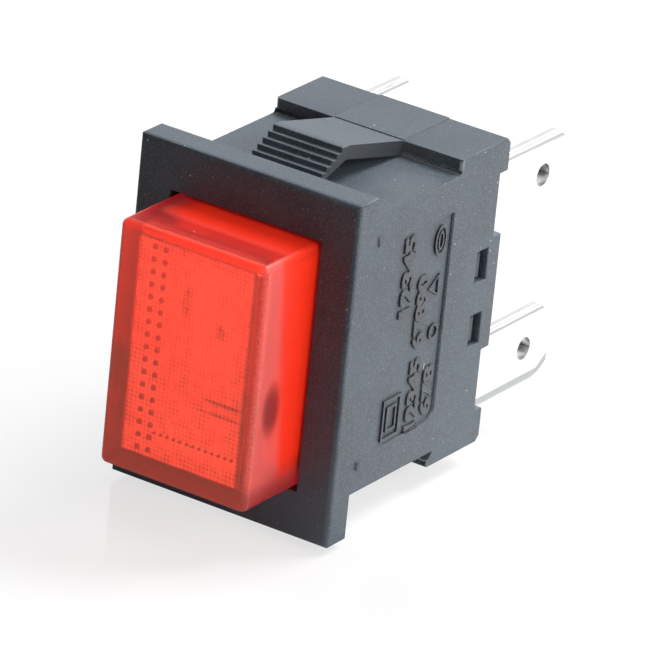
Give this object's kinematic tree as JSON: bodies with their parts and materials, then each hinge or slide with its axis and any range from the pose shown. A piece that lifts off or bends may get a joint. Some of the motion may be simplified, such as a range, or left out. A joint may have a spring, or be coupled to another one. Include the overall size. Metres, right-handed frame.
{
  "type": "illuminated panel push-button switch",
  "caption": "Snap-in panel push-button switch with a rectangular red lit cap, black housing with ribbed tongues and blade terminals.",
  "frame": {"origin": "centre of the bezel's back face, on the plane of the panel's front", "axes": "+Y into the panel towards the terminals, +Z along the long side of the bezel, +X to the right seen from the front"},
  "size_m": [0.015, 0.0301, 0.0218],
  "materials": {
    "black_nylon": "fine matte moulded nylon",
    "red_lens": "translucent red polycarbonate, glossy face and frosted sides",
    "diffuser": "translucent ribbed plastic",
    "white_nylon": "natural nylon",
    "lamp_glass": "clear lamp glass",
    "resistor": "lacquered resistor body",
    "tinned_wire": "tinned copper wire",
    "spring_steel": "drawn spring wire",
    "bronze": "rolled phosphor bronze",
    "tinned_brass": "bright tin plate on stamped brass",
    "silver": "silver alloy contact"
  },
  "bodies": {
    "body": {"housing": "black_nylon", "terminal_base": "black_nylon", "latch_spring": "bronze", "return_spring_upper": "spring_steel", "return_spring_lower": "spring_steel", "terminal_upper_right": "tinned_brass", "terminal_lower_right": "tinned_brass", "terminal_upper_left": "tinned_brass", "terminal_lower_left": "tinned_brass", "fixed_contact_upper_right": "silver", "fixed_contact_lower_right": "silver", "fixed_contact_upper_left": "silver", "fixed_contact_lower_left": "silver"},
    "button": {"button_cap": "red_lens", "diffuser": "diffuser", "plunger": "white_nylon", "neon_lamp": "lamp_glass", "lamp_resistor": "resistor", "lamp_lead": "tinned_wire", "resistor_lead": "tinned_wire", "contact_spring_right": "spring_steel", "contact_spring_left": "spring_steel"},
    "bridge_right": {"contact_bridge_right": "bronze", "bridge_contacts_right": "silver"},
    "bridge_left": {"contact_bridge_left": "bronze", "bridge_contacts_left": "silver"},
    "latch": {"latch_pin": "spring_steel"}
  },
  "joints": [
    {"name": "button_press", "type": "slide", "parent": "body", "child": "button", "axis": [0, 1, 0], "range_m": [0, 0.003], "stiffness_N_per_m": 600, "springref_m": -0.003, "deforming": ["return_spring_upper", "return_spring_lower", "contact_spring_right", "contact_spring_left"]},
    {"name": "bridge_right_slide", "type": "slide", "parent": "body", "child": "bridge_right", "axis": [0, 1, 0], "range_m": [0, 0.0018]},
    {"name": "bridge_left_slide", "type": "slide", "parent": "body", "child": "bridge_left", "axis": [0, 1, 0], "range_m": [0, 0.0018]},
    {"name": "latch_pin_swing", "type": "hinge", "parent": "body", "child": "latch", "pos_m": [0, 0.0115, 0.0069], "axis": [0, 0, 1], "range_deg": [0, 16.5]}
  ],
  "couplings": [
    {"joint": "bridge_right_slide", "follows": "button_press", "ratio": 0.6},
    {"joint": "bridge_left_slide", "follows": "button_press", "ratio": 0.6},
    {"joint": "latch_pin_swing", "follows": "button_press", "rad_per_m": 95.9}
  ]
}
